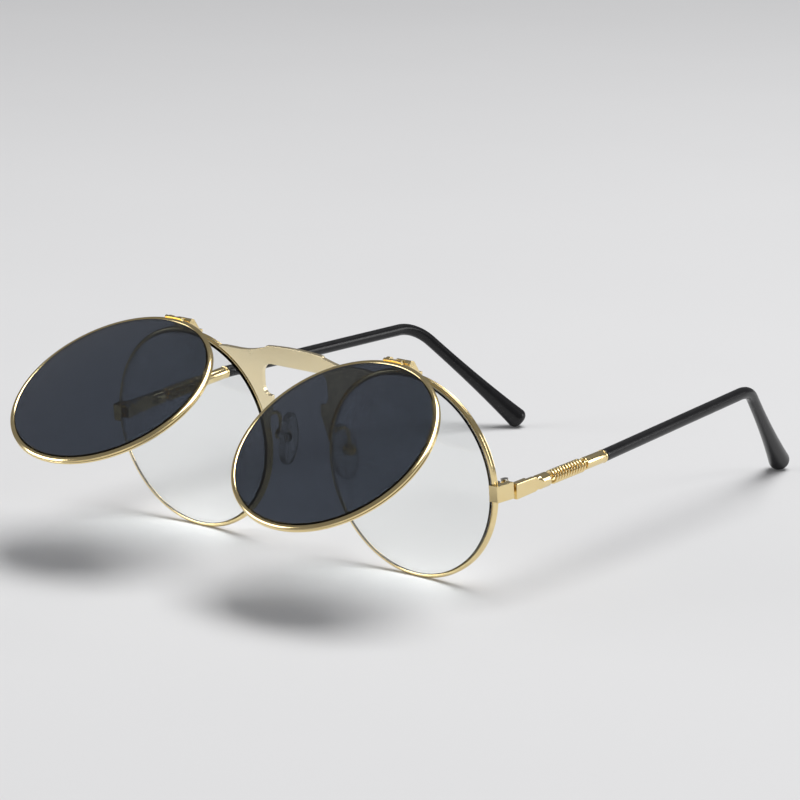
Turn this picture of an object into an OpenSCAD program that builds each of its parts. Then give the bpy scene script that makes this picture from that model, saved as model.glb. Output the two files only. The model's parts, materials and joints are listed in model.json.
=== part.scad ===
// Round metal glasses with two tinted lenses that flip up on their own hinges.
// They stand open on a table: the rims' lower edges and the two temple tips touch it.
// Left and right are the wearer's. The front faces -Y and the temples run towards +Y.

/* [Rims and clear lenses] */
// Inside diameter of each rim
rim_in_d = 49.8; // [46:0.2:52]
// Thickness of the rim wire, measured across the lens
rim_wall = 1.2; // [1:0.1:1.6]
// Depth of the rim wire, front to back
rim_depth = 1.8; // [1.6:0.1:2.4]
// Depth of the groove that holds a lens
groove = 0.35; // [0.2:0.05:0.45]
// Width of the groove at its mouth
groove_w = 0.9; // [0.6:0.1:1.2]
// Distance between the two lens openings at the nose
bridge_w = 22; // [20:0.5:26]
// Thickness of a clear lens
lens_t = 1.8; // [1.4:0.1:2.2]
// Radius that both lens faces are curved to
lens_curve_r = 120; // [90:5:200]
// Room between a lens edge and its groove
lens_fit = 0.03; // [0.02:0.01:0.06]
// Angle that the front leans forward from upright
front_tilt = 4.5; // [2:0.5:8]

/* [Bridge plate] */
// Thickness of the bridge plate
plate_t = 1.2; // [1:0.1:1.6]
// How far the plate's face stands in front of the rims
plate_proud = 0.1; // [0:0.05:0.4]
// Height of the plate's top above the top of the rims
plate_rise = 0.4; // [0:0.1:1]
// Half width of the raised middle of the top edge
crown_half_w = 9.1; // [7.5:0.1:10.5]
// Fall of the raised middle from its centre to its ends
crown_fall = 0.45; // [0.2:0.05:0.8]
// Height of the small step at each end of the raised middle
crown_step = 0.35; // [0.2:0.05:0.6]
// Further fall from the step to the hollow of each wing
wing_fall = 1.6; // [1.2:0.1:2.2]
// Distance from the centre line to the tip of each wing
wing_reach = 23.3; // [22:0.1:24]
// Depth of the plate above the window
brow_h = 4.9; // [4:0.1:6]
// Half width of the window
window_half_w = 10.9; // [10:0.1:12]
// Radius of the window's upper corners
window_corner_r = 3.2; // [2:0.2:4.5]
// Height of the window's lower corners above the lens centre
window_foot_z = 13.2; // [12:0.2:14.4]
// Half width between the shoulders of the two legs
shoulder_half_w = 8.2; // [7.4:0.1:9.2]
// Length of the straight inner edge below each shoulder
shoulder_h = 2.7; // [1.5:0.1:3.5]
// Height where each leg has run out along its rim
leg_foot_z = 4.2; // [3:0.2:5.5]

/* [End pieces and rim locks] */
// Width of the block at the outside of each rim
end_w = 4.7; // [4.2:0.1:5.2]
// Height of the block
end_h = 4.1; // [3.8:0.1:5]
// Thickness of the arm that turns back towards the temple
end_arm_t = 2; // [1.8:0.1:2.4]
// How far the block's side spreads outwards from front to back
end_flare = 0.9; // [0.2:0.1:1.2]
// Distance from the rim's middle plane back to the end of that arm
end_reach = 3.5; // [3:0.1:3.8]
// How far the block overlaps the front of the rim
end_overlap = 2.3; // [1.8:0.1:2.6]
// Thickness of the block where it lies in front of the rim
end_face_t = 0.6; // [0.2:0.05:0.8]
// Chamfer on the block's edges
end_chamfer = 0.25; // [0.1:0.05:0.4]
// Slit where the rim is cut to take its lens
rim_slit = 0.3; // [0.2:0.05:0.5]
// Height of each half of the rim lock
lock_h = 1.2; // [1:0.1:1.8]
// Width of the rim lock
lock_w = 2.4; // [2.2:0.1:2.8]
// Depth of the rim lock behind the rim
lock_depth = 2.2; // [2:0.1:2.6]
// Diameter of the rim lock screw
lock_screw_d = 1; // [0.8:0.1:1.1]

/* [Temple hinges] */
// Distance from the inside of the end piece arm to the hinge pin
pin_inset = 1.35; // [1.3:0.05:1.7]
// Distance from the rim's middle plane back to the hinge pin
pin_back = 4.4; // [4.2:0.1:5.2]
// Diameter of the hinge barrel
barrel_d = 1.9; // [1.7:0.1:2]
// Height of the hinge barrel
barrel_h = 3.2; // [2.8:0.1:3.6]
// Diameter of the hinge screw
pin_d = 1; // [0.8:0.05:1.1]
// Room round each screw in its hole
pin_fit = 0.03; // [0.02:0.01:0.06]
// Gap between neighbouring knuckles
knuckle_gap = 0.1; // [0.06:0.01:0.15]
// Angle that each pin leans in at the top, so that folded temples cross clear of each other
pin_cant = 5.5; // [4:0.5:7]
// Thickness of the hinge leaves
leaf_t = 0.7; // [0.5:0.1:0.9]
// Height of a screw head
head_h = 0.5; // [0.4:0.05:0.7]

/* [Temples] */
// Thickness of the flat bar behind the hinge
bar_t = 1.4; // [1.2:0.1:1.8]
// Height of the bar at its front end
bar_h = 4; // [3.6:0.1:4.4]
// Height of the bar at its rear end
bar_h_rear = 3.7; // [3.4:0.1:4]
// Distance from the hinge pin to the front of the bar
bar_start = 0.3; // [0.3:0.1:1]
// Length of the flat bar
bar_l = 8.8; // [7:0.1:10]
// Length of the round bead behind the bar
bead_l = 3.9; // [3.2:0.1:4.4]
// Diameter of the bead
bead_d = 3.7; // [3.5:0.1:4]
// Diameter of the wire that runs through spring, sleeve and tip
core_d = 1.6; // [1.4:0.1:1.7]
// Diameter of the spring's wire
spring_wire = 0.7; // [0.6:0.02:0.7]
// Outside diameter of the spring
spring_d = 3.7; // [3.5:0.1:4]
// Distance from one curl of the spring to the next
spring_pitch = 1.12; // [1.12:0.02:1.3]
// Number of curls in the spring
spring_curls = 11; // [9:1:13]
// Length of the smooth sleeve
sleeve_l = 8.2; // [7:0.1:10]
// Diameter of the sleeve
sleeve_d = 3.2; // [3:0.1:3.4]
// Length of the ring at the end of the sleeve
ring_l = 0.7; // [0.5:0.1:1]
// Diameter of that ring
ring_d = 3.4; // [3.3:0.1:3.7]
// Diameter of the black tip
tip_d = 3.2; // [3:0.1:3.6]
// Width of the rounded end of the tip
tip_end_w = 6; // [4.4:0.1:8]
// Radius that the tip's end is rounded to
tip_round = 2; // [1.2:0.1:2.4]
// Thickness of the rounded end of the tip
tip_end_t = 6; // [3.2:0.1:8]
// How late the bent part widens: the power of the distance along it
tip_flare = 2.2; // [1:0.1:6]
// Distance from the hinge pin to the bend over the wearer's left ear
temple_l_left = 101.3; // [92:0.1:110]
// The same distance on the wearer's right, where the bend is wider
temple_l_right = 102.5; // [92:0.1:110]
// Radius of the bend over the left ear
ear_bend_r_left = 11.7; // [8:1:26]
// Radius of the bend over the right ear
ear_bend_r_right = 11.9; // [8:1:26]
// Length of the part that comes down behind the left ear
bent_l_left = 41.1; // [32:0.2:46]
// Length of the part that comes down behind the right ear
bent_l_right = 35.1; // [32:0.2:46]
// Angle that the left bent part leans in towards the head
ear_lean_left = 18.8; // [10:0.1:30]
// Angle that the right bent part leans in towards the head
ear_lean_right = 35.2; // [10:0.1:40]
// Angle that the wearer's left temple rises from its hinge
temple_rise_left = 2.5; // [2:0.1:6.5]
// The same angle on the wearer's right, where the wire is bent up a little more
temple_rise_right = 5.9; // [2:0.1:6.5]
// Angle that each temple runs outwards from its hinge
temple_toe_out = 0.5; // [0:0.1:1.5]
// Angle that the wearer's left black tip turns in behind the sleeve
tip_turn_in_left = 3.1; // [1:0.1:6]
// The same angle on the wearer's right
tip_turn_in_right = 1.8; // [1:0.1:6]
// Angle that the wearer's left black tip turns down behind the sleeve
tip_turn_down_left = 0; // [-1:0.1:6]
// The same angle on the wearer's right
tip_turn_down_right = 5.2; // [-1:0.1:6]
// Angle that the wearer's left temple is folded in
fold_left = 1.4; // [0:0.1:4]
// Angle that the wearer's right temple is folded in
fold_right = 2.7; // [0:0.1:4]
// Distance from the middle of the hinge down to the temple's centre line
temple_drop = 0.8; // [0.4:0.1:1]
// Length of the bar that shows in front of a hinge leaf's end
hinge_leaf_l = 5.4; // [4.6:0.1:6]

/* [Flip up lenses] */
// Thickness of a flip rim, measured across its lens
flip_wall = 1.4; // [1.2:0.1:1.6]
// Inside diameter of a flip rim
flip_in_d = 50.8; // [47:0.2:53]
// Depth of a flip rim, front to back
flip_depth = 1.8; // [1.6:0.1:2.2]
// Thickness of a tinted lens
tint_t = 1.5; // [1.2:0.1:1.8]
// Height of the flip hinge's pin above the top of the rim
flip_up = 3; // [2.8:0.1:3.6]
// Distance from the rim's middle plane forward to the pin
flip_forward = 2.6; // [2.4:0.1:3.2]
// Distance from the pin down to the top of a closed flip rim
flip_drop = 1.8; // [1.7:0.05:2.2]
// Distance from the pin forward to the middle of a closed flip rim
flip_offset = 1.8; // [1.7:0.1:2.4]
// Angle that the wearer's left flip stands open
flip_open_left = 58; // [0:1:90]
// Angle that the wearer's right flip stands open
flip_open_right = 64; // [0:1:90]
// Half length of the flip hinge
flip_half_l = 3.9; // [3.6:0.1:4.4]
// Diameter of the flip hinge's knuckles
flip_barrel_d = 2; // [1.8:0.1:2.2]
// Diameter of the flip hinge's pin
flip_pin_d = 0.9; // [0.8:0.05:1]
// Width of the narrow ear of the flip hinge
ear_w = 1.1; // [0.9:0.1:1.3]
// Width of the wide ear of the flip hinge
wide_ear_w = 2.1; // [1.8:0.1:2.3]
// Width of the knuckle between them
flip_knuckle_w = 2.5; // [2:0.1:2.6]
// Diameter of the dimple in that knuckle
dimple_d = 1; // [0.7:0.1:1.2]

/* [Nose pads] */
// Height of a nose pad
pad_h = 14; // [12:0.5:15]
// Width of a nose pad
pad_w = 7.4; // [6.6:0.2:8]
// Thickness of a nose pad
pad_t = 1.9; // [1.5:0.1:2.4]
// Distance from the centre line to the pivot of each pad
pad_x = 11.7; // [11:0.1:12.4]
// Distance from the rim's middle plane back to the pad's pivot
pad_y = 5.8; // [5.4:0.1:6.4]
// Height of the pad's pivot above the lens centre
pad_z = 0.6; // [-1:0.2:2]
// Angle that each pad opens towards the face
pad_splay = 10; // [5:1:20]
// Angle that each pad's foot stands out
pad_flare = 8; // [4:1:14]
// Height where the pad arm leaves the rim
arm_root_z = 6.8; // [6:0.2:8]
// Diameter of the pad arm's wire
arm_d = 0.9; // [0.8:0.05:1.1]
// Radius of the pad arm's bend
arm_bend_r = 2.2; // [1.6:0.1:2.6]
// Diameter of the cup that holds the pad
cup_d = 2.8; // [2.6:0.1:3.2]
// Depth of the cup
cup_h = 2; // [1.8:0.1:2.2]
// Width of the post on the back of the pad
post_w = 1.4; // [1.2:0.1:1.6]
// Diameter of the pad's screw
pad_screw_d = 0.7; // [0.6:0.05:0.8]

/* [Hidden] */
$fn = 64;
WEARER_LEFT = 1;
WEARER_RIGHT = -1;
play = 0.3;
rim_in_r = rim_in_d / 2;
rim_out_r = rim_in_r + rim_wall;
rim_x = (rim_in_d + bridge_w) / 2;
rim_half_d = rim_depth / 2;
rim_lift = rim_out_r * cos(front_tilt) + rim_half_d * sin(front_tilt);
face_y = -rim_half_d - plate_proud;
plate_top = rim_out_r + plate_rise;
window_top = plate_top - brow_h;
flip_in_r = flip_in_d / 2;
flip_out_r = flip_in_r + flip_wall;
flip_half_d = flip_depth / 2;
flip_axis_y = -flip_forward;
flip_axis_z = rim_out_r + flip_up;
flip_centre_drop = flip_drop + flip_out_r;
end_out_x = rim_x + rim_out_r + end_w - end_overlap;
end_in_x = end_out_x - end_w;
end_front_y = -rim_half_d - end_face_t;
arm_in_x = end_out_x - end_arm_t;
pin_x = arm_in_x - pin_inset;
bar_out_x = end_out_x - pin_x;
bar_mid_x = bar_out_x - bar_t / 2;
bead_start = bar_start + bar_l;
spring_start = bead_start + bead_l;
spring_r = (spring_d - spring_wire) / 2;
spring_turn_in = 0.6;
spring_lead = atan(spring_pitch / (2 * PI * spring_r));
spring_l = 2 * (spring_wire + spring_turn_in * cos(spring_lead)) + spring_pitch * spring_curls;
sleeve_start = spring_start + spring_l;
tip_start = sleeve_start + sleeve_l;
core_seat = 1.6;
core_stop = 14;
tip_side = tip_end_w / 2 - tip_round;
tip_clear = 0.05;

// Turns about X, about Z and about the hinge pin, as functions of a point or a direction
function turn_x(p, a) = [p[0], p[1] * cos(a) - p[2] * sin(a), p[1] * sin(a) + p[2] * cos(a)];
function turn_z(p, a) = [p[0] * cos(a) - p[1] * sin(a), p[0] * sin(a) + p[1] * cos(a), p[2]];
pin_axis = turn_x([-sin(pin_cant), 0, cos(pin_cant)], front_tilt);
function turn_pin(p, a) =
    p * cos(a) + cross(pin_axis, p) * sin(a) + pin_axis * (pin_axis * p) * (1 - cos(a));

// From the leaning front, and from one temple's own frame, to the table's frame
function lean(p) = turn_x(p, front_tilt) + [0, 0, rim_lift];
pin_at = lean([pin_x, pin_back, 0]);
function fold(side) = side > 0 ? fold_left : fold_right;
function rise(side) = side > 0 ? temple_rise_left : temple_rise_right;
function temple_turn(p, side) = turn_pin(turn_z(turn_x(p, rise(side)), -temple_toe_out), fold(side));
function temple_to_table(p, side) = pin_at + temple_turn(p - [0, 0, temple_drop], side);

// The slight turn where the black tip begins
kink_at = [bar_mid_x, tip_start, 0];
function tip_in(side) = side > 0 ? tip_turn_in_left : tip_turn_in_right;
function tip_down(side) = side > 0 ? tip_turn_down_left : tip_turn_down_right;
function tip_gap(side) = tip_d / 2 * sin(tip_in(side) + abs(tip_down(side)));
function kink_turn(v, side) = turn_z(turn_x(v, -tip_down(side)), tip_in(side));
function kink(p, side) = kink_at + kink_turn(p - kink_at, side);

// Bend over the ear: as much as brings the tip's rounded end down to the table. The height of its
// corner over the bend is a cos(bend) + b sin(bend), less what the bend itself comes down. That
// gives a first bend, and there the oval of the end reaches a little lower than the corner.
function bend_r(side) = side > 0 ? ear_bend_r_left : ear_bend_r_right;
function bent_l(side) = side > 0 ? bent_l_left : bent_l_right;
function lean_in(side) = side > 0 ? ear_lean_left : ear_lean_right;
function bend_start(side) = [bar_mid_x, side > 0 ? temple_l_left : temple_l_right, 0];
function ear_bend(side) =
    let (g = temple_turn(kink_turn([sin(lean_in(side)), 0, cos(lean_in(side))], side), side)[2],
         h = temple_turn(kink_turn([0, 1, 0], side), side)[2],
         c = temple_turn(kink_turn([cos(lean_in(side)), 0, -sin(lean_in(side))], side), side)[2],
         r = bend_r(side) - tip_side, l = bent_l(side) - tip_round, a = r * g + l * h, b = r * h - l * g,
         level = tip_round + tip_clear - temple_to_table(kink(bend_start(side), side), side)[2]
              + bend_r(side) * g,
         first = acos(level / norm([a, b])) + atan2(b, a),
          u = tip_side * (g * cos(first) + h * sin(first)),
         oval = norm([u, (tip_end_t / 2 - tip_round) * c]) - u)
    acos((level + oval) / norm([a, b])) + atan2(b, a);
function ear_dir(a, side) = [-sin(a) * sin(lean_in(side)), cos(a), -sin(a) * cos(lean_in(side))];
function ear_turn(a, side) = bend_start(side) + bend_r(side) *
    [-sin(lean_in(side)) * (1 - cos(a)), sin(a), -cos(lean_in(side)) * (1 - cos(a))];
function ear_place(past, side) =
    let (bend = ear_bend(side)) ear_turn(bend, side) + past * ear_dir(bend, side);
function tip_end(side) = temple_to_table(kink(ear_place(bent_l(side), side), side), side);

// Reach of the flips in front and of the tips behind, which set the origin half way
function flip_reach(open) = let (a = open - front_tilt)
    lean([0, flip_axis_y, flip_axis_z])[1] - flip_centre_drop * sin(a) - flip_offset * cos(a)
    - flip_out_r * abs(sin(a)) - flip_half_d * abs(cos(a));
front_end = min(flip_reach(flip_open_left), flip_reach(flip_open_right));
back_end = max(tip_end(WEARER_LEFT)[1], tip_end(WEARER_RIGHT)[1]) + tip_side / 2;
origin_y = (front_end + back_end) / 2;

function rim_edge_x(z) = rim_x - sqrt(rim_out_r * rim_out_r - z * z);
function arc_points(cx, cz, r, from, to, steps) =
    [for (i = [0:steps]) let (a = from + (to - from) * i / steps) [cx + r * cos(a), cz + r * sin(a)]];

GOLD = [0.87, 0.76, 0.47];
CLEAR = [0.9, 0.94, 0.95, 0.35];
TINT = [0.16, 0.19, 0.24, 0.75];
BLACK = [0.04, 0.04, 0.045];

// Frames: the table, the leaning front, and the places on it

module front_frame() {
    translate([0, -origin_y, rim_lift]) rotate([front_tilt, 0, 0]) children();
}

module on_side(side) {
    mirror([side < 0 ? 1 : 0, 0, 0]) children();
}

module pin_frame(side) {
    front_frame() on_side(side) translate([pin_x, pin_back, 0]) rotate([0, -pin_cant, 0]) children();
}

module temple_frame(side) {
    translate([0, -origin_y, 0]) on_side(side) translate(pin_at) rotate(fold(side), pin_axis)
        rotate([0, 0, -temple_toe_out]) rotate([rise(side), 0, 0])
            translate([0, 0, -temple_drop]) children();
}

// The hinge pin's frame, turning with the temple
module temple_pin_frame(side) {
    pin_frame(side) rotate([0, 0, fold(side)]) children();
}

module flip_frame(side) {
    translate_x = side * rim_x;
    front_frame() translate([translate_x, flip_axis_y, flip_axis_z])
        rotate([-(side > 0 ? flip_open_left : flip_open_right), 0, 0]) children();
}

module pad_frame(side) {
    front_frame() on_side(side) translate([pad_x, pad_y, pad_z])
        rotate([0, -pad_flare, 0]) rotate([0, 0, -pad_splay]) children();
}

// A cylinder along Y or X that starts at the origin
module rod_y(d, l) {
    rotate([-90, 0, 0]) cylinder(d = d, h = l);
}

module rod_x(d, l) {
    rotate([0, 90, 0]) cylinder(d = d, h = l);
}

// Rims and lenses

module grooved_ring(in_r, wall, depth) {
    half = depth / 2;
    rotate([90, 0, 0]) rotate_extrude($fn = 96)
        polygon([[in_r, half], [in_r, groove_w / 2], [in_r + groove, 0], [in_r, -groove_w / 2],
                 [in_r, -half], [in_r + wall * 0.75, -half], [in_r + wall, -half * 0.6],
                 [in_r + wall, half * 0.6], [in_r + wall * 0.75, half]]);
}

// Both faces bulge towards -Y, and the edge comes to a ridge that sits in the groove
module curved_lens(in_r, thickness) {
    edge_r = in_r - lens_fit;
    half = min(thickness, groove_w) / 2;
    steps = 8;
    sag = function(r) sqrt(lens_curve_r ^ 2 - r ^ 2) - sqrt(lens_curve_r ^ 2 - edge_r ^ 2);
    front = [for (i = [0:steps]) let (r = edge_r * i / steps) [r, thickness - half + sag(r)]];
    back = [for (i = [steps:-1:0]) let (r = edge_r * i / steps) [r, -half + sag(r)]];
    ridge = [[edge_r, half], [edge_r + groove, 0]];
    rotate([90, 0, 0]) rotate_extrude($fn = 96) polygon(concat(front, ridge, back));
}

module rim(side) {
    color(GOLD) front_frame() on_side(side) difference() {
        translate([rim_x, 0, 0]) grooved_ring(rim_in_r, rim_wall, rim_depth);
        translate([rim_x + rim_in_r - 1, -rim_depth, -rim_slit / 2])
            cube([rim_wall + 2, 2 * rim_depth, rim_slit]);
    }
}

module lens(side) {
    color(CLEAR) front_frame() translate([side * rim_x, 0, 0]) curved_lens(rim_in_r, lens_t);
}

// Bridge plate: a brow with two wings, a window over the nose and two legs along the rims

function wing_z(x) = let (t = (x - crown_half_w) / (wing_reach - crown_half_w))
    plate_top - crown_fall - crown_step - wing_fall * sin(min(90, t * 140));

module plate_half() {
    steps = 8;
    lower_r = window_half_w - shoulder_half_w - 0.4;
    crown = [for (i = [0:4]) let (x = crown_half_w * i / 4) [x, plate_top - crown_fall * (i / 4) ^ 2]];
    wing = [for (i = [0:steps])
        let (x = crown_half_w + 0.25 + (wing_reach - crown_half_w - 0.25) * i / steps) [x, wing_z(x)]];
    rim_side = [[rim_x, wing_z(wing_reach) - 1.6], [rim_x, leg_foot_z],
                [rim_edge_x(leg_foot_z), leg_foot_z]];
    leg = [[shoulder_half_w + 1.5, (leg_foot_z + window_foot_z - shoulder_h) / 2 - 0.9],
           [shoulder_half_w, window_foot_z - shoulder_h], [shoulder_half_w, window_foot_z]];
    lower = arc_points(window_half_w - lower_r, window_foot_z + lower_r, lower_r, -90, 0, 5);
    upper = arc_points(window_half_w - window_corner_r, window_top - window_corner_r,
                       window_corner_r, 0, 90, 6);
    difference() {
        polygon(concat(crown, wing, rim_side, leg, lower, upper, [[0, window_top]]));
        translate([rim_x, 0]) circle(r = rim_out_r, $fn = 96);
    }
}

module bridge_plate() {
    color(GOLD) front_frame() translate([0, face_y + plate_t, 0]) rotate([90, 0, 0])
        linear_extrude(plate_t) union() {
            plate_half();
            mirror([1, 0]) plate_half();
        }
}

// End pieces, rim locks and their screws

module end_piece(side) {
    c = end_chamfer;
    low = end_front_y;
    corner_x = end_out_x - end_flare;
    plan = [[end_in_x + c, low], [corner_x - c, low], [corner_x, low + c], [end_out_x, end_reach],
            [arm_in_x, end_reach], [arm_in_x, rim_half_d], [rim_x + rim_out_r, rim_half_d],
            [rim_x + rim_out_r, -rim_half_d], [end_in_x, -rim_half_d], [end_in_x, low + c]];
    color(GOLD) front_frame() on_side(side) difference() {
        translate([0, 0, -end_h / 2]) linear_extrude(end_h) polygon(plan);
        translate([rim_x, 0, 0]) rotate([90, 0, 0]) {
            cylinder(r = rim_out_r, h = rim_depth, center = true, $fn = 96);
            cylinder(r = rim_in_r, h = 6 * rim_depth, center = true, $fn = 96);
        }
        for (flip = [0, 1]) mirror([0, 0, flip])
            translate([0, low, end_h / 2]) rotate([45, 0, 0])
                cube([3 * rim_x, 2 * c * cos(45), 2 * c * cos(45)], center = true);
    }
}

lock_x = arm_in_x - leaf_t - knuckle_gap - lock_w;
lock_mid = [lock_x + lock_w / 2, rim_half_d + lock_depth / 2, 0];

module lock_half(side, up) {
    color(GOLD) front_frame() on_side(side) mirror([0, 0, up ? 0 : 1]) difference() {
        translate([lock_x, rim_half_d, rim_slit / 2]) cube([lock_w, lock_depth, lock_h]);
        translate(lock_mid) cylinder(d = lock_screw_d + 2 * pin_fit, h = 3 * lock_h, center = true);
    }
}

module lock_screw(side) {
    top = rim_slit / 2 + lock_h;
    color(GOLD) front_frame() on_side(side) translate(lock_mid) {
        translate([0, 0, -top]) cylinder(d = lock_screw_d, h = 2 * top);
        slotted_head(lock_screw_d + 0.7, top);
    }
}

// A flat screw head that stands on height z, with a slot across it
module slotted_head(d, z) {
    slot = 0.25;
    translate([0, 0, z]) difference() {
        cylinder(d = d, h = head_h);
        translate([-d, -slot / 2, head_h / 2]) cube([2 * d, slot, head_h]);
    }
}

// Temple hinges: the front leaf has the middle knuckle, the temple leaf the outer two

mid_knuckle_h = barrel_h / 3;

module front_hinge_leaf(side) {
    reach = pin_back - rim_half_d - 0.5;
    color(GOLD) difference() {
        union() {
            pin_frame(side) cylinder(d = barrel_d, h = mid_knuckle_h, center = true);
            front_frame() on_side(side)
                translate([arm_in_x - leaf_t, pin_back - reach, -mid_knuckle_h / 2 + 0.1])
                    cube([leaf_t, reach - 0.4, mid_knuckle_h - 0.2]);
        }
        pin_frame(side) cylinder(d = pin_d + 2 * pin_fit, h = 2 * barrel_h, center = true);
    }
}

module hinge_screw(side) {
    color(GOLD) pin_frame(side) {
        translate([0, 0, -barrel_h / 2]) cylinder(d = pin_d, h = barrel_h);
        slotted_head(barrel_d, barrel_h / 2);
    }
}

module temple_hinge_leaf(side) {
    slot_h = mid_knuckle_h + 2 * knuckle_gap;
    leaf_x = bar_out_x - bar_t - leaf_t;
    leaf_low = temple_drop - barrel_h / 2;
    leaf_h = min(temple_drop + barrel_h / 2, bar_h_rear / 2 - 0.05) - leaf_low;
    color(GOLD) difference() {
        union() {
            temple_pin_frame(side) cylinder(d = barrel_d, h = barrel_h, center = true);
            temple_frame(side) {
                translate([leaf_x, play, leaf_low]) cube([leaf_t, hinge_leaf_l, leaf_h]);
                translate([0, play, leaf_low]) cube([leaf_x + leaf_t / 2, barrel_d / 2 - play, leaf_h]);
            }
        }
        temple_pin_frame(side) {
            translate([-barrel_d, -barrel_d, -slot_h / 2])
                cube([1.5 * barrel_d + 0.2, 1.6 * barrel_d, slot_h]);
            cylinder(d = pin_d + 2 * pin_fit, h = 2 * barrel_h, center = true);
        }
    }
}

// Temples: bar, bead, core, spring, sleeve and tip

module temple_bar(side) {
    bevel = 1.2;
    flat_end = bead_start - bevel;
    color(GOLD) temple_frame(side) difference() {
        union() {
            translate([bar_mid_x - bar_t / 2, 0, 0]) rotate([90, 0, 90]) linear_extrude(bar_t)
                polygon([[bar_start, -bar_h / 2], [flat_end, -bar_h_rear / 2],
                         [bead_start, -bar_h_rear / 2 + bevel * 0.7],
                         [bead_start, bar_h_rear / 2 - bevel * 0.7],
                         [flat_end, bar_h_rear / 2], [bar_start, bar_h / 2]]);
            translate([bar_mid_x, flat_end, 0]) rotate([-90, 0, 0]) rotate_extrude()
                polygon([[0, 0], [bar_t / 2, 0], [bead_d / 2 - 0.15, bevel], [bead_d / 2, bevel + 0.7],
                         [bead_d / 2, bevel + bead_l - 0.6], [bead_d / 2 - 0.3, bevel + bead_l],
                         [0, bevel + bead_l]]);
        }
        translate([bar_mid_x, spring_start - core_seat, 0]) rod_y(core_d + 2 * pin_fit, core_seat + 1);
    }
}

// The line that the temple's rear half follows: straight, kink, straight, bend, straight.
// Each station is [place, direction, distance past the bend].
EAR_SIDES = 20;
ear_bend_steps = 6;
function ear_line(side, past) = let (bend = ear_bend(side)) concat(
    [for (i = [0:ear_bend_steps]) let (a = bend * i / ear_bend_steps)
        [kink(ear_turn(a, side), side), kink_turn(ear_dir(a, side), side), 0]],
    [for (l = past) [kink(ear_place(l, side), side), kink_turn(ear_dir(bend, side), side), l]]);
function core_line(side, from, past) = concat(
    [[[bar_mid_x, from, 0], [0, 1, 0], 0], [kink_at, kink_turn([0, 1, 0], side), 0]],
    ear_line(side, [past]));
function ear_ring(q, side, half_w, half_t) =
    let (flat = kink_turn([cos(lean_in(side)), 0, -sin(lean_in(side))], side),
         up = cross(q[1], flat) / norm(cross(q[1], flat)), across = cross(up, q[1]))
    [for (k = [0:EAR_SIDES - 1]) let (b = 360 * k / EAR_SIDES)
        q[0] + half_t * cos(b) * across + half_w * sin(b) * up];

module loft(rings) {
    polyhedron([for (ring = rings) for (p = ring) p], tube_faces(len(rings), len(rings[0])));
}

module ear_rod(side, d, from, past) {
    loft([for (q = core_line(side, from, past)) ear_ring(q, side, d / 2, d / 2)]);
}

module temple_core(side) {
    color(GOLD) temple_frame(side) ear_rod(side, core_d, spring_start - core_seat, bent_l(side) - core_stop);
}

// The black tip: a round tube over the core that widens from the bend to its rounded end
tip_round_steps = 6;
function tip_past(side) = concat([for (part = [0.35, 0.6, 0.8]) part * bent_l(side)],
    [for (i = [0:tip_round_steps]) bent_l(side) - tip_round * (1 - sin(90 * i / tip_round_steps))]);
function tip_half(l, end, side) = let (c = max(0, l - bent_l(side) + tip_round) / tip_round)
    tip_d / 2 + (end - tip_d / 2) * (l / bent_l(side)) ^ tip_flare
        - tip_round * (1 - sqrt(max(0, 1 - c * c)));

module temple_tip(side) {
    tip_front = [[kink(kink_at + [0, tip_gap(side), 0], side), kink_turn([0, 1, 0], side), 0]];
    color(BLACK) temple_frame(side) difference() {
        loft([for (q = concat(tip_front, ear_line(side, tip_past(side))))
            ear_ring(q, side, tip_half(q[2], tip_end_w / 2, side), tip_half(q[2], tip_end_t / 2, side))]);
        ear_rod(side, core_d + 2 * pin_fit, tip_start - 1, bent_l(side) - core_stop + play);
    }
}

module temple_sleeve(side) {
    color(GOLD) temple_frame(side) translate([bar_mid_x, sleeve_start, 0]) rotate([-90, 0, 0])
        rotate_extrude() polygon([[core_d / 2 + pin_fit, 0], [sleeve_d / 2 - 0.1, 0], [sleeve_d / 2, 0.1],
            [sleeve_d / 2, sleeve_l - ring_l], [ring_d / 2 - 0.15, sleeve_l - ring_l],
            [ring_d / 2, sleeve_l - ring_l / 2], [ring_d / 2 - 0.15, sleeve_l],
            [core_d / 2 + pin_fit, sleeve_l]]);
}

// Spring: one tube whose centre line is drawn on the unrolled cylinder, as distance round it
// and distance along it. It runs in straight, turns into the coil, winds, and runs out straight.

SPRING_SIDES = 6;
SPRING_RINGS = 8;
turn_steps = 3;
turn_angle = 90 - spring_lead;
turn_round = spring_turn_in * (1 - cos(turn_angle));
turn_along = spring_turn_in * sin(turn_angle);
coil_round = 2 * PI * spring_r * spring_curls;
spring_line = concat(
    [[0, 0, 90]],
    [for (i = [0:turn_steps]) let (a = turn_angle * i / turn_steps)
        [spring_turn_in * (1 - cos(a)), spring_wire + spring_turn_in * sin(a), 90 - a]],
    [for (i = [1:spring_curls * SPRING_RINGS - 1]) let (t = i / (spring_curls * SPRING_RINGS))
        [turn_round + coil_round * t, spring_wire + turn_along + spring_pitch * spring_curls * t,
          spring_lead]],
    [for (i = [0:turn_steps]) let (a = turn_angle * (1 - i / turn_steps))
        [2 * turn_round + coil_round - spring_turn_in * (1 - cos(a)),
         spring_l - spring_wire - spring_turn_in * sin(a), 90 - a]],
    [[2 * turn_round + coil_round, spring_l, 90]]);

// A point of the line and the tube's ring round it; the third number is the slope along the axis
function on_coil(q) = let (a = q[0] / spring_r * 180 / PI) [spring_r * cos(a), q[1], spring_r * sin(a)];
function coil_ring(q) = let (a = q[0] / spring_r * 180 / PI, out = [cos(a), 0, sin(a)],
        round = [-sin(a), 0, cos(a)], across = -sin(q[2]) * round + [0, cos(q[2]), 0])
    [for (k = [0:SPRING_SIDES - 1]) let (b = 360 * k / SPRING_SIDES)
        on_coil(q) + spring_wire / 2 * (cos(b) * out + sin(b) * across)];

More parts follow.
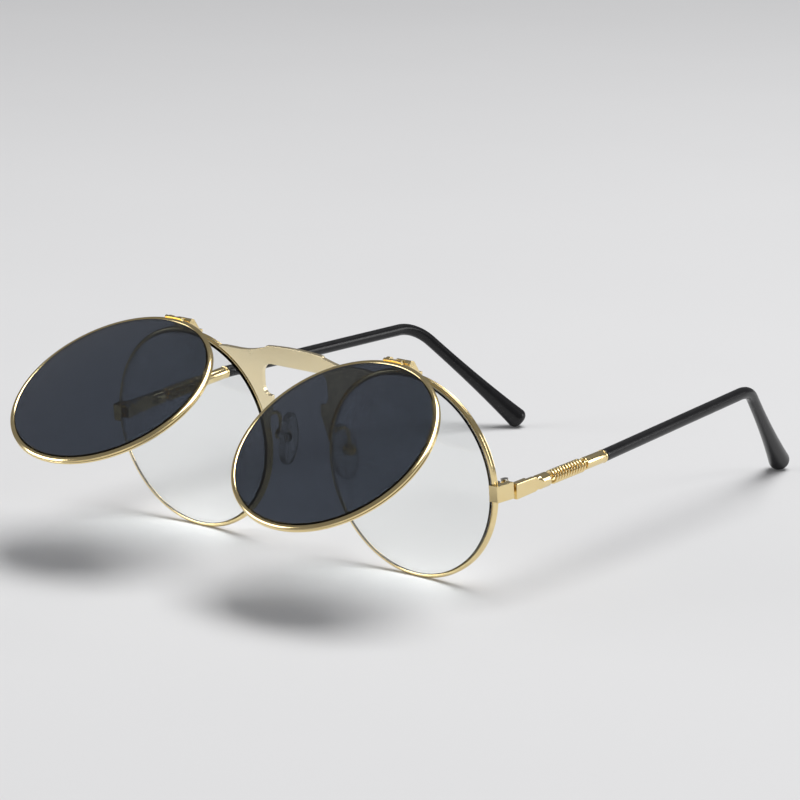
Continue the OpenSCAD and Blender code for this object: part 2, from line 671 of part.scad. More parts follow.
function tube_faces(rings, n) = concat(
    [for (k = [1:n - 2]) [0, k, k + 1]],
    [for (i = [0:rings - 2]) for (k = [0:n - 1]) let (m = (k + 1) % n)
        [i * n + k, (i + 1) * n + m, i * n + m]],
    [for (i = [0:rings - 2]) for (k = [0:n - 1]) let (m = (k + 1) % n)
        [i * n + k, (i + 1) * n + k, (i + 1) * n + m]],
    [for (k = [1:n - 2]) let (last = (rings - 1) * n) [last, last + k + 1, last + k]]);

// Least gap between points of the centre line that lie half a curl or more apart, less the wire
spring_gap = min([for (i = [0:len(spring_line) - 1])
    for (j = [i + SPRING_RINGS / 2 + turn_steps:1:len(spring_line) - 1])
    norm(on_coil(spring_line[i]) - on_coil(spring_line[j]))]) - spring_wire;
echo(spring_gap = spring_gap, spring_length = spring_l);

module temple_spring(side) {
    color(GOLD) temple_frame(side) translate([bar_mid_x, spring_start, 0])
        loft([for (q = spring_line) coil_ring(q)]);
}

// Flip hinges, flip rims and tinted lenses. Both hinges are the same part, not a mirrored pair.

knuckle_from = flip_half_l - wide_ear_w - knuckle_gap - flip_knuckle_w;
wide_ear_from = flip_half_l - wide_ear_w;
flip_ears = [[-flip_half_l, ear_w], [wide_ear_from, wide_ear_w]];

module flip_hole(extra) {
    translate([-flip_half_l - 1, 0, 0]) rod_x(flip_pin_d + 2 * extra, 2 * flip_half_l + 2);
}

module flip_hinge_base(side) {
    foot_z = -flip_up + 0.5;
    color(GOLD) front_frame() translate([side * rim_x, flip_axis_y, flip_axis_z]) difference() {
        union() {
            for (ear = flip_ears) translate([ear[0], 0, 0]) {
                rod_x(flip_barrel_d, ear[1]);
                rotate([90, 0, 90]) linear_extrude(ear[1])
                    polygon([[-flip_barrel_d / 2, 0], [flip_forward - rim_half_d, foot_z],
                             [flip_forward, foot_z], [flip_barrel_d * 0.45, flip_barrel_d * 0.22]]);
            }
            translate([-flip_half_l, flip_forward - rim_half_d, -flip_up - 0.5])
                cube([2 * flip_half_l, rim_depth, foot_z + flip_up + 0.5]);
        }
        flip_hole(pin_fit);
        translate([0, flip_forward, -flip_up - rim_out_r]) rotate([90, 0, 0])
            cylinder(r = rim_out_r, h = 3 * rim_depth, center = true, $fn = 96);
    }
}

module flip_hinge_pin(side) {
    head_d = flip_barrel_d - 0.3;
    color(GOLD) front_frame() translate([side * rim_x, flip_axis_y, flip_axis_z])
        translate([-flip_half_l, 0, 0]) {
            rod_x(flip_pin_d, 2 * flip_half_l);
            difference() {
                sphere(d = head_d);
                translate([0, -head_d, -head_d]) cube(2 * head_d);
            }
        }
}

module flip_hinge_leaf(side) {
    clear_r = flip_barrel_d / 2 + play;
    plate_front = flip_offset + flip_half_d;
    plate_back = flip_offset - flip_half_d;
    color(GOLD) flip_frame(side) difference() {
        union() {
            translate([knuckle_from, 0, 0]) rod_x(flip_barrel_d, flip_knuckle_w);
            translate([knuckle_from, 0, 0]) rotate([90, 0, 90]) linear_extrude(flip_knuckle_w)
                polygon([[-flip_barrel_d * 0.5, 0.1], [-plate_front, -flip_drop + 0.4],
                         [-plate_front, -flip_drop],
                         [-plate_back, -flip_drop], [0.1, -flip_barrel_d * 0.5]]);
            difference() {
                translate([-flip_half_l + ear_w, -plate_front, -flip_drop - 0.4])
                    cube([2 * (flip_half_l - ear_w), flip_depth, 0.9]);
                translate([-flip_half_l - 1, 0, 0]) rod_x(2 * clear_r, 2 * flip_half_l + 2);
            }
        }
        flip_hole(pin_fit);
        translate([knuckle_from + flip_knuckle_w / 2, 0, 0]) rotate([110, 0, 0])
            cylinder(d = dimple_d, h = 2 * flip_barrel_d);
        translate([0, -flip_offset, -flip_centre_drop]) rotate([90, 0, 0])
            cylinder(r = flip_out_r, h = 3 * flip_depth, center = true, $fn = 96);
    }
}

module flip_rim(side) {
    color(GOLD) flip_frame(side) translate([0, -flip_offset, -flip_centre_drop])
        grooved_ring(flip_in_r, flip_wall, flip_depth);
}

module tinted_lens(side) {
    color(TINT) flip_frame(side) translate([0, -flip_offset, -flip_centre_drop])
        curved_lens(flip_in_r, tint_t);
}

// Nose pads. In a pad's own frame +X points away from the nose and Z runs along the pad.

post_h = 1.8;
post_end = 0.6;
post_room = 0.15;
cheek_in = post_w / 2 + knuckle_gap;

module pad_arm(side) {
    root = [rim_x - sqrt((rim_in_r + rim_wall / 2) ^ 2 - arm_root_z ^ 2), rim_half_d, arm_root_z];
    swing = atan2(pad_x - root[0], pad_y - root[1]);
    run = norm([pad_x - root[0], pad_y - root[1]]) - arm_bend_r;
    fall = arm_root_z - pad_z - arm_bend_r;
    color(GOLD) difference() {
        union() {
            front_frame() on_side(side) translate(root) rotate([0, 0, -swing]) {
                rod_y(arm_d, run);
                translate([0, run, -arm_bend_r]) rotate([90, 0, 90])
                    rotate_extrude(angle = 90) translate([arm_bend_r, 0]) circle(d = arm_d);
                translate([0, run + arm_bend_r, -arm_bend_r - fall]) cylinder(d = arm_d, h = fall);
            }
            pad_frame(side) translate([-cup_h / 2, 0, 0]) rod_x(cup_d, cup_h);
        }
        pad_frame(side) translate([-cup_h, -cheek_in, -post_h / 2 - post_room])
            cube([cup_h + post_end + post_room, 2 * cheek_in, post_h + 2 * post_room]);
        pad_frame(side) rotate([90, 0, 0]) cylinder(d = pad_screw_d + 2 * pin_fit, h = 2 * cup_d, center = true);
    }
}

module pad_screw(side) {
    color(GOLD) pad_frame(side) {
        translate([0, -cup_d / 2, 0]) rod_y(pad_screw_d, cup_d);
        translate([0, cup_d / 2, 0]) rod_y(pad_screw_d + 0.5, head_h / 2);
    }
}

// The pad is egg shaped, wider at the foot, and its two faces round off to the rim
PAD_SIDES = 32;
pad_layers = 6;
pad_rim_r = 0.9;
pad_drop = 0.6;
function pad_ring(t) = let (a = 180 * t, inset = pad_rim_r * (1 - sin(a)) * abs(2 * t - 1))
    [for (k = [0:PAD_SIDES - 1]) let (b = 360 * k / PAD_SIDES)
        [-pad_t * (1 - cos(a)) / 2, (pad_w / 2 - inset) * sin(b) * (1 - 0.12 * cos(b)),
         (pad_h / 2 - inset) * cos(b) - pad_drop]];

module nose_pad(side) {
    back_x = -cup_h / 2 - play;
    color(CLEAR) pad_frame(side) difference() {
        union() {
            translate([back_x, 0, 0]) loft([for (i = [0:pad_layers]) pad_ring(i / pad_layers)]);
            translate([back_x - pad_t / 2, -post_w / 2, -post_h / 2])
                cube([pad_t / 2 - back_x + post_end, post_w, post_h]);
        }
        rotate([90, 0, 0]) cylinder(d = pad_screw_d + 2 * pin_fit, h = 2 * cup_d, center = true);
    }
}

bridge_plate();
rim(WEARER_LEFT);  // rim_left
rim(WEARER_RIGHT);  // rim_right
lens(WEARER_LEFT);  // lens_left
lens(WEARER_RIGHT);  // lens_right
end_piece(WEARER_LEFT);  // end_piece_left
end_piece(WEARER_RIGHT);  // end_piece_right
lock_half(WEARER_LEFT, true);  // rim_lock_upper_left
lock_half(WEARER_RIGHT, true);  // rim_lock_upper_right
lock_half(WEARER_LEFT, false);  // rim_lock_lower_left
lock_half(WEARER_RIGHT, false);  // rim_lock_lower_right
lock_screw(WEARER_LEFT);  // rim_lock_screw_left
lock_screw(WEARER_RIGHT);  // rim_lock_screw_right
pad_arm(WEARER_LEFT);  // pad_arm_left
pad_arm(WEARER_RIGHT);  // pad_arm_right
pad_screw(WEARER_LEFT);  // pad_screw_left
pad_screw(WEARER_RIGHT);  // pad_screw_right
nose_pad(WEARER_LEFT);  // nose_pad_left
nose_pad(WEARER_RIGHT);  // nose_pad_right
front_hinge_leaf(WEARER_LEFT);  // front_hinge_leaf_left
front_hinge_leaf(WEARER_RIGHT);  // front_hinge_leaf_right
hinge_screw(WEARER_LEFT);  // hinge_screw_left
hinge_screw(WEARER_RIGHT);  // hinge_screw_right
temple_hinge_leaf(WEARER_LEFT);  // temple_hinge_leaf_left
temple_hinge_leaf(WEARER_RIGHT);  // temple_hinge_leaf_right
temple_bar(WEARER_LEFT);  // temple_bar_left
temple_bar(WEARER_RIGHT);  // temple_bar_right
temple_core(WEARER_LEFT);  // temple_core_left
temple_core(WEARER_RIGHT);  // temple_core_right
temple_spring(WEARER_LEFT);  // temple_spring_left
temple_spring(WEARER_RIGHT);  // temple_spring_right
temple_sleeve(WEARER_LEFT);  // temple_sleeve_left
temple_sleeve(WEARER_RIGHT);  // temple_sleeve_right
temple_tip(WEARER_LEFT);  // temple_tip_left
temple_tip(WEARER_RIGHT);  // temple_tip_right
flip_hinge_base(WEARER_LEFT);  // flip_hinge_base_left
flip_hinge_base(WEARER_RIGHT);  // flip_hinge_base_right
flip_hinge_pin(WEARER_LEFT);  // flip_hinge_pin_left
flip_hinge_pin(WEARER_RIGHT);  // flip_hinge_pin_right
flip_hinge_leaf(WEARER_LEFT);  // flip_hinge_leaf_left
flip_hinge_leaf(WEARER_RIGHT);  // flip_hinge_leaf_right
flip_rim(WEARER_LEFT);  // flip_rim_left
flip_rim(WEARER_RIGHT);  // flip_rim_right
tinted_lens(WEARER_LEFT);  // tinted_lens_left
tinted_lens(WEARER_RIGHT);  // tinted_lens_right
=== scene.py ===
"""Round metal glasses with tinted lenses that flip up: the looks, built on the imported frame.

The small metal pieces keep their CAD solids and get their finish here. The rims, lenses, temples and
nose pads are drawn again as finer surfaces on the same places. Lengths below are in millimetres, and
each mesh is turned to metres when it is made.
"""
import json
import math

import bmesh
import bpy
import numpy as np
from mathutils import Matrix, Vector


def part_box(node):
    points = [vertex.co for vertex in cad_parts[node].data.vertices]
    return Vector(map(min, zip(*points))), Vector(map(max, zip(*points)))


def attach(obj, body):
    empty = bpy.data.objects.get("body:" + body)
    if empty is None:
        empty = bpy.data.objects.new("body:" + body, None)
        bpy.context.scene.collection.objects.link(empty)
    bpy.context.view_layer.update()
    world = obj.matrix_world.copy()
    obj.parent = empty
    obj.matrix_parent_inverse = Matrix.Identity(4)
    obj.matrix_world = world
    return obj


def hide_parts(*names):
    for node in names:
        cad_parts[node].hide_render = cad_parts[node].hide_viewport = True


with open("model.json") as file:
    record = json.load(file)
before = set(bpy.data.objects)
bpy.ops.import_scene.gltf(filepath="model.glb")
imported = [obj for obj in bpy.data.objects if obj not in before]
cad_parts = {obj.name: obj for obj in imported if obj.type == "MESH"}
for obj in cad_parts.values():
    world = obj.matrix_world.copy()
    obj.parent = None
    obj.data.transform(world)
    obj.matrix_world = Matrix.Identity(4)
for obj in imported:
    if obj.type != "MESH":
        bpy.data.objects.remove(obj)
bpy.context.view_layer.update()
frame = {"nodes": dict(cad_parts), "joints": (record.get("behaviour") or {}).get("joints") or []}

MM = 0.001
SIDES = {"left": 1, "right": -1}
X_AXIS = np.array([1.0, 0.0, 0.0])
Y_AXIS = np.array([0.0, 1.0, 0.0])
Z_AXIS = np.array([0.0, 0.0, 1.0])

# Front
FRONT_TILT = 4.5
RIM_IN_R = 24.9
RIM_WALL = 1.2
RIM_DEPTH = 1.8
RIM_SLIT = 0.3
RIM_CROWN = 0.38
CHANNEL = 0.2
CHANNEL_HALF = 0.3
GROOVE = 0.35
GROOVE_W = 0.9
LENS_T = 1.8
LENS_CURVE_R = 120.0
LENS_FIT = 0.03

# Flip up lenses
FLIP_IN_R = 25.4
FLIP_WALL = 1.4
FLIP_DEPTH = 1.8
TINT_T = 1.5
FLIP_OPEN = {"left": 58, "right": 64}

# Temples, with the angles at which each one stands
PIN_CANT = 5.5
RISE = {"left": 2.5, "right": 5.9}
TOE_OUT = 0.5
FOLD = {"left": 1.4, "right": 2.7}
TEMPLE_DROP = 0.8
BAR_MID_X = 2.65
BAR_T = 1.4
BAR_H = 4.0
BAR_H_REAR = 3.7
BAR_START = 0.3
BAR_L = 8.8
BEAD_L = 3.9
BEAD_D = 3.7
BAR_BEVEL = 1.2
CORE_D = 1.6
SPRING_WIRE = 0.7
SPRING_D = 3.7
SPRING_PITCH = 1.12
SPRING_CURLS = 11
SPRING_TURN_IN = 0.6
SLEEVE_L = 8.2
SLEEVE_D = 3.2
RING_L = 0.7
RING_D = 3.4
PIN_FIT = 0.03

# The bar's section along it: a superellipse that is nearly a rectangle, then a neck, then the round bead
BAR_EDGE = 0.15
BEVEL_EASE = 0.2
NECK_BEFORE = 0.45
NECK_AFTER = 0.5
NECK_WIDER = 0.32
NECK_LOWER = 0.42
BEAD_EDGE = 0.3
BEAD_EDGE_L = 0.45
BAR_SQUARE = 9
NECK_SQUARE = 5
BEAD_SQUARE = 2

# The sleeve's shallow neck before its end ring, and the rounding of each corner of its profile
SLEEVE_NECK_L = 0.16
SLEEVE_NECK_DEPTH = 0.12
SLEEVE_ROUNDING = [0.02, 0.2, 0.05, 0.05, 0.06, 0.2, 0.02]

# How far the fine surfaces stay inside the flat-sided ones of the CAD
SKIN = 0.02

# Black tips
TURN_IN = {"left": 3.1, "right": 1.8}
TURN_DOWN = {"left": 0.0, "right": 5.2}
BEND_FROM = {"left": 101.3, "right": 102.5}
BEND_R = {"left": 11.7, "right": 11.9}
BENT_L = {"left": 41.1, "right": 35.1}
LEAN_IN = {"left": 18.8, "right": 35.2}
TIP_D = 3.2
TIP_END_W = 6.0
TIP_END_T = 6.0
TIP_FLARE = 2.2
TIP_ROUND = 2.0
TIP_CLEAR = 0.05
TIP_LIP = 0.25
TIP_LIP_CLEAR = 1.0

# Nose pads
PAD_AT = np.array([11.7, 5.8, 0.6])
PAD_H = 14.0
PAD_W = 7.4
PAD_T = 1.9
PAD_SPLAY = 10
PAD_FLARE = 8
PAD_DROP = 0.6
PAD_RIM_R = 0.9
POST_W = 1.4
POST_H = 1.8
POST_END = 0.6
POST_ROUND = 0.2
POST_ROUND_TURN = 1.4
POST_SQUARE = 6
PAD_EGG = 0.12
CUP_H = 2.0
PAD_PLAY = 0.3

# How finely the surfaces are drawn, as counts of points round or along them
ROUND_STEPS = 256
CORNER_STEPS = 5
CROWN_STEPS = 17
CHANNEL_STEPS = 11
LENS_STEPS = 40
TIP_SIDES = 56
LIP_STEPS = 5
STRAIGHT_STEPS = 24
BEND_STEPS = 30
FLARE_STEPS = 36
END_STEPS = 14
WIRE_SIDES = 14
TURN_STEPS = 8
CURL_STEPS = 36
BAR_SIDES = 72
STATION_STEPS = 12
SLEEVE_SIDES = 64
PAD_SIDES = 96
PAD_LAYERS = 26
POST_SIDES = 32
POST_STEPS = 8
POST_END_STEPS = 6

# An edge stays sharp above this angle in degrees, and points this near in metres become one
SHARP_ANGLE = 38
SAME_PLACE = 1e-8

# Camera, fitted to the photograph
VIEW_AZIMUTH = 39.80
VIEW_ELEVATION = 13.90
VIEW_DISTANCE = 944.34
VIEW_TARGET = np.array([31.81, 0.0, 44.10])
VIEW_FOCAL_PX = 3890.64
PHOTO_PX = 800
SENSOR = 36.0


# Places


def turn(axis, degrees):
    """The matrix of a right-handed turn about a unit axis: I + sin K + (1 - cos) K K, where K takes the
    cross product with the axis."""
    k = np.cross(np.eye(3), np.asarray(axis, float))
    a = math.radians(degrees)
    return np.eye(3) + math.sin(a) * k + (1 - math.cos(a)) * k @ k


def middle(node):
    """The middle of a CAD node's box, in millimetres."""
    low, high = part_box(node)
    return (np.array(low) + np.array(high)) / 2 / MM


front_turn = turn(X_AXIS, FRONT_TILT)
rim_middle = {side: middle(f"rim_{side}") for side in SIDES}
front_middle = (rim_middle["left"] + rim_middle["right"]) / 2 * np.array([0, 1, 1])
flip_middle = {side: middle(f"flip_rim_{side}") for side in SIDES}
joint_at = {joint["name"]: np.array(joint.get("pos_m", (0, 0, 0))) / MM for joint in frame["joints"]}
pin_at = joint_at["temple_hinge_left"]
pin_axis = front_turn @ turn(Y_AXIS, -PIN_CANT) @ Z_AXIS
mirror_of = {"left": np.array([1.0, 1.0, 1.0]), "right": np.array([-1.0, 1.0, 1.0])}
temple_turn = {side: turn(pin_axis, FOLD[side]) @ turn(Z_AXIS, -TOE_OUT) @ turn(X_AXIS, RISE[side])
               for side in SIDES}


def on_temple(points, side):
    """From a temple's own frame, +Y along it, to the shared frame."""
    at_pin = (points - TEMPLE_DROP * Z_AXIS) @ temple_turn[side].T
    return (at_pin + pin_at) * mirror_of[side]


def on_pad(points, side):
    """From a nose pad's own frame, +X away from the nose, to the shared frame."""
    pad_turn = front_turn @ turn(Y_AXIS, -PAD_FLARE) @ turn(Z_AXIS, -PAD_SPLAY)
    return (points @ pad_turn.T + front_turn @ PAD_AT + front_middle) * mirror_of[side]


# Meshes


def surface(name, points, wrap=(False, True), caps=True):
    """A mesh on a grid: the point at row i and column j is joined to its four neighbours by faces.

    wrap says whether the rows and the columns close on themselves, and caps closes the first and
    last rows. Points that fall together, as at a pole, become one.
    """
    rows, columns = points.shape[:2]
    last_row, last_column = rows - (not wrap[0]), columns - (not wrap[1])
    i, j = np.meshgrid(np.arange(last_row), np.arange(last_column), indexing="ij")
    next_i, next_j = (i + 1) % rows, (j + 1) % columns
    corners = [i * columns + j, i * columns + next_j, next_i * columns + next_j, next_i * columns + j]
    faces = np.stack(corners, axis=-1).reshape(-1, 4).tolist()
    if caps:
        faces += [list(range(columns))[::-1], list(range((rows - 1) * columns, rows * columns))]
    mesh = bpy.data.meshes.new(name)
    mesh.from_pydata((points.reshape(-1, 3) * MM).tolist(), [], faces)
    work = bmesh.new()
    work.from_mesh(mesh)
    bmesh.ops.remove_doubles(work, verts=work.verts, dist=SAME_PLACE)
    bmesh.ops.recalc_face_normals(work, faces=work.faces)
    work.to_mesh(mesh)
    work.free()
    mesh.polygons.foreach_set("use_smooth", np.ones(len(mesh.polygons), bool))
    mesh.set_sharp_from_angle(angle=math.radians(SHARP_ANGLE))
    piece = bpy.data.objects.new(name, mesh)
    bpy.context.scene.collection.objects.link(piece)
    return piece


def eased(corners, radii):
    """A closed outline whose corners are rounded: each is a curve (1-t)^2 A + 2t(1-t) P + t^2 B, from a
    point A before the corner P to a point B after it, both at that corner's radius."""
    corner = np.asarray(corners, float)
    before, after = np.roll(corner, 1, axis=0) - corner, np.roll(corner, -1, axis=0) - corner
    reach = np.broadcast_to(np.asarray(radii, float), len(corner))[:, None]
    start = corner + before / np.linalg.norm(before, axis=1, keepdims=True) * reach
    end = corner + after / np.linalg.norm(after, axis=1, keepdims=True) * reach
    t = np.linspace(0, 1, CORNER_STEPS)[None, :, None]
    curve = (1 - t) ** 2 * start[:, None] + 2 * t * (1 - t) * corner[:, None] + t ** 2 * end[:, None]
    return curve.reshape(-1, 2)


def turned(profile, centre, tilt, from_angle=0.0, to_angle=360.0):
    """A profile of radius and height turned round a line along Y: (r cos a, -h, r sin a), then the
    whole leans by tilt about X and moves to its centre. A full round leaves out its last step."""
    full = to_angle - from_angle >= 360
    a = np.radians(np.linspace(from_angle, to_angle, ROUND_STEPS, endpoint=not full))[:, None]
    r, h = profile[None, :, 0], profile[None, :, 1]
    points = np.stack([r * np.cos(a), -h + 0 * a, r * np.sin(a)], axis=-1)
    return points @ turn(X_AXIS, tilt).T + centre


def rim_profile(in_r, wall, depth):
    """A rim wire's section. With u from -1 at the inside to 1 at the outside, its front and back are
    crowned by u squared; the outside has a channel that dips as a cosine; inside is the lens groove."""
    half, middle_r, out_r = depth / 2, in_r + wall / 2, in_r + wall
    u = np.linspace(-1, 1, CROWN_STEPS)
    front = np.stack([middle_r + wall / 2 * u, half - RIM_CROWN * u ** 2], axis=-1)
    back = front * np.array([1, -1])
    v = np.linspace(-1, 1, CHANNEL_STEPS)
    channel = np.stack([out_r - CHANNEL / 2 * (1 + np.cos(math.pi * v)), CHANNEL_HALF * v], axis=-1)
    groove = np.array([[in_r, GROOVE_W / 2], [in_r + GROOVE, 0], [in_r, -GROOVE_W / 2]])
    return np.concatenate([groove, back, channel, front[::-1]])


def lens_profile(in_r, thickness):
    """A lens's section: both faces are arcs of one radius, bulging forwards, and its edge is a ridge."""
    edge_r, half = in_r - LENS_FIT, min(thickness, GROOVE_W) / 2
    r = edge_r * np.linspace(0, 1, LENS_STEPS)
    sag = np.sqrt(LENS_CURVE_R ** 2 - r ** 2) - math.sqrt(LENS_CURVE_R ** 2 - edge_r ** 2)
    front = np.stack([r, thickness - half + sag], axis=-1)
    back = np.stack([r, -half + sag], axis=-1)[::-1]
    return np.concatenate([front, [[edge_r, half], [edge_r + GROOVE, 0]], back])


def tube(centre, across, up, half_across, half_up, sides, square=2.0):
    """Rings along a path: centre + a cos-like part of across + a sin-like part of up. square is the
    superellipse power, 2 for a round section and 8 for nearly a rectangle."""
    b = np.linspace(0, 2 * math.pi, sides, endpoint=False)[None, :]
    power = 2 / np.broadcast_to(np.asarray(square, float), len(centre))[:, None]
    c = np.sign(np.cos(b)) * np.abs(np.cos(b)) ** power
    s = np.sign(np.sin(b)) * np.abs(np.sin(b)) ** power
    wide = (np.broadcast_to(half_across, len(centre))[:, None] * c)[..., None]
    high = (np.broadcast_to(half_up, len(centre))[:, None] * s)[..., None]
    return centre[:, None] + wide * across[:, None] + high * up[:, None]


def steady(vector, count):
    """The same vector for each of count rings."""
    return np.broadcast_to(np.asarray(vector, float), (count, 3))


# Temple shapes, in a temple's own frame

bead_start = BAR_START + BAR_L
spring_start = bead_start + BEAD_L
spring_r = (SPRING_D - SPRING_WIRE) / 2
spring_lead = math.atan(SPRING_PITCH / (2 * math.pi * spring_r))
spring_l = 2 * (SPRING_WIRE + SPRING_TURN_IN * math.cos(spring_lead)) + SPRING_PITCH * SPRING_CURLS
sleeve_start = spring_start + spring_l
tip_start = sleeve_start + SLEEVE_L
tip_side = TIP_END_W / 2 - TIP_ROUND
kink_at = np.array([BAR_MID_X, tip_start, 0.0])
kink_turn = {side: turn(Z_AXIS, TURN_IN[side]) @ turn(X_AXIS, -TURN_DOWN[side]) for side in SIDES}


def kinked(points, side):
    """Turns the part behind the sleeve as the black tip is turned."""
    return kink_at + (points - kink_at) @ kink_turn[side].T


def lean_vectors(side):
    """The way down, and the flat of the bend across it, both leaning in towards the head."""
    lean = math.radians(LEAN_IN[side])
    down = np.array([-math.sin(lean), 0, -math.cos(lean)])
    flat = np.array([math.cos(lean), 0, -math.sin(lean)])
    return down, flat


def ear_bend(side):
    """The bend that brings the tip's rounded end to the table. The height of its corner is a cos + b sin
    of the bend, less what the bend itself comes down, and at the first bend that this gives, the oval
    of the end reaches a little lower than the corner, as in the part's own construction."""
    down, flat = lean_vectors(side)
    whole = temple_turn[side] @ kink_turn[side]
    g, h, c = (whole @ -down)[2], (whole @ Y_AXIS)[2], (whole @ flat)[2]
    r, length = BEND_R[side] - tip_side, BENT_L[side] - TIP_ROUND
    a, b = r * g + length * h, r * h - length * g
    start = on_temple(kinked(np.array([[BAR_MID_X, BEND_FROM[side], 0.0]]), side), side)[0, 2]
    level = TIP_ROUND + TIP_CLEAR - start + BEND_R[side] * g
    first = math.acos(level / math.hypot(a, b)) + math.atan2(b, a)
    corner = tip_side * (g * math.cos(first) + h * math.sin(first))
    oval = math.hypot(corner, (TIP_END_T / 2 - TIP_ROUND) * c) - corner
    return math.acos((level + oval) / math.hypot(a, b)) + math.atan2(b, a)


def ear_path(side, s):
    """The tip's centre line at distances s from the sleeve: straight, an arc of the bend's radius, and
    straight again. Returns places, directions and the distance past the bend."""
    down, _ = lean_vectors(side)
    bend, radius = ear_bend(side), BEND_R[side]
    straight = BEND_FROM[side] - tip_start
    angle = np.clip((s - straight) / radius, 0, bend)[:, None]
    past = np.maximum(0, s - straight - radius * bend)
    along = np.cos(angle) * Y_AXIS + np.sin(angle) * down
    place = kink_at + np.minimum(s, straight)[:, None] * Y_AXIS
    place = place + radius * (np.sin(angle) * Y_AXIS + (1 - np.cos(angle)) * down)
    place = place + past[:, None] * along
    return kinked(place, side), along @ kink_turn[side].T, past


def ear_frame(along, side):
    """For each direction of the path, the two directions across it: in the bend's flat and over it."""
    _, flat = lean_vectors(side)
    over = np.cross(along, kink_turn[side] @ flat)
    over /= np.linalg.norm(over, axis=1, keepdims=True)
    return np.cross(over, along), over


def tip_surface(side):
    """The black tip: round from the sleeve to the bend, then widening with a power of the distance,
    and rounded off at the end by a quarter circle."""
    arc = BEND_R[side] * ear_bend(side)
    straight = BEND_FROM[side] - tip_start
    gap = TIP_D / 2 * math.sin(math.radians(TURN_IN[side] + abs(TURN_DOWN[side])))
    length = straight + arc + BENT_L[side] - SKIN
    front = gap + TIP_LIP * (1 - np.cos(np.linspace(0, math.pi / 2, LIP_STEPS)))
    end = length - TIP_ROUND * (1 - np.sin(np.linspace(0, math.pi / 2, END_STEPS)))
    s = np.concatenate([
        front,
        np.linspace(gap + TIP_LIP + TIP_LIP_CLEAR, straight, STRAIGHT_STEPS),
        straight + np.linspace(0, arc, BEND_STEPS)[1:],
        straight + arc + np.linspace(0, BENT_L[side] - TIP_ROUND, FLARE_STEPS)[1:-1],
        end])
    place, along, past = ear_path(side, s)
    into_end = np.clip((past - BENT_L[side] + TIP_ROUND) / TIP_ROUND, 0, 1)
    into_front = np.clip((gap + TIP_LIP - s) / TIP_LIP, 0, 1)
    rounding = (SKIN + TIP_ROUND * (1 - np.sqrt(1 - into_end ** 2))
                + TIP_LIP * (1 - np.sqrt(1 - into_front ** 2)))
    swell = (past / BENT_L[side]) ** TIP_FLARE
    half_w = TIP_D / 2 + (TIP_END_W - TIP_D) / 2 * swell - rounding
    half_t = TIP_D / 2 + (TIP_END_T - TIP_D) / 2 * swell - rounding
    across, over = ear_frame(along, side)
    return on_temple(tube(place, across, over, half_t, half_w, TIP_SIDES), side)


def spring_surface(side):
    """The coil: a round wire whose centre line is drawn on the unrolled cylinder, as distance round it,
    distance along it and slope. It runs in straight, turns into the coil, winds, and runs out straight."""
    turn_angle = math.pi / 2 - spring_lead
    bend = np.linspace(0, turn_angle, TURN_STEPS)
    turn_round = SPRING_TURN_IN * (1 - math.cos(turn_angle))
    turn_along = SPRING_TURN_IN * math.sin(turn_angle)
    coil_round = 2 * math.pi * spring_r * SPRING_CURLS
    t = np.linspace(0, 1, SPRING_CURLS * CURL_STEPS + 1)[1:-1]
    way_in = np.stack([SPRING_TURN_IN * (1 - np.cos(bend)),
                       SPRING_WIRE + SPRING_TURN_IN * np.sin(bend),
                       math.pi / 2 - bend], axis=-1)
    coil = np.stack([turn_round + coil_round * t,
                     SPRING_WIRE + turn_along + SPRING_PITCH * SPRING_CURLS * t,
                     np.full_like(t, spring_lead)], axis=-1)
    way_out = np.stack([2 * turn_round + coil_round - way_in[::-1, 0],
                        spring_l - way_in[::-1, 1],
                        way_in[::-1, 2]], axis=-1)
    first = [[0, 0, math.pi / 2]]
    last = [[2 * turn_round + coil_round, spring_l, math.pi / 2]]
    line = np.concatenate([first, way_in, coil, way_out, last])
    angle, zero = line[:, 0] / spring_r, np.zeros(len(line))
    out = np.stack([np.cos(angle), zero, np.sin(angle)], axis=-1)
    round_it = np.stack([-np.sin(angle), zero, np.cos(angle)], axis=-1)
    centre = spring_r * out + line[:, 1:2] * Y_AXIS + np.array([BAR_MID_X, spring_start, 0])
    across = -np.sin(line[:, 2:]) * round_it + np.cos(line[:, 2:]) * Y_AXIS
    wire_r = SPRING_WIRE / 2 - SKIN
    return on_temple(tube(centre, out, across, wire_r, wire_r, WIRE_SIDES), side)


def bar_surface(side):
    """The flat bar that swells into a round bead. Each station gives the place along the bar, the
    section's half width and half height, and its squareness, and these are eased between stations."""
    flat_end, bead_end = bead_start - BAR_BEVEL, bead_start + BEAD_L
    bead_r = BEAD_D / 2 - SKIN
    stations = np.array([
        (BAR_START, BAR_T / 2 - BAR_EDGE, BAR_H / 2 - BAR_EDGE, BAR_SQUARE),
        (BAR_START + BAR_EDGE, BAR_T / 2, BAR_H / 2, BAR_SQUARE),
        (flat_end - BEVEL_EASE, BAR_T / 2, BAR_H_REAR / 2, BAR_SQUARE),
        (bead_start - NECK_BEFORE, BAR_T / 2 + NECK_WIDER, BAR_H_REAR / 2 - NECK_LOWER, NECK_SQUARE),
        (bead_start + NECK_AFTER, bead_r, bead_r, BEAD_SQUARE),
        (bead_end - BEAD_EDGE_L, bead_r, bead_r, BEAD_SQUARE),
        (bead_end, bead_r - BEAD_EDGE, bead_r - BEAD_EDGE, BEAD_SQUARE)])
    at, width, height, square = stations.T
    runs = [np.linspace(a, b, STATION_STEPS, endpoint=False) for a, b in zip(at, at[1:])]
    y = np.concatenate(runs + [at[-1:]])
    half_w, half_h, power = (np.interp(y, at, row) for row in (width, height, square))
    centre = np.stack([np.full_like(y, BAR_MID_X), y, np.zeros_like(y)], axis=-1)
    across, up = steady(X_AXIS, len(y)), steady(Z_AXIS, len(y))
    return on_temple(tube(centre, across, up, half_w, half_h, BAR_SIDES, power), side)


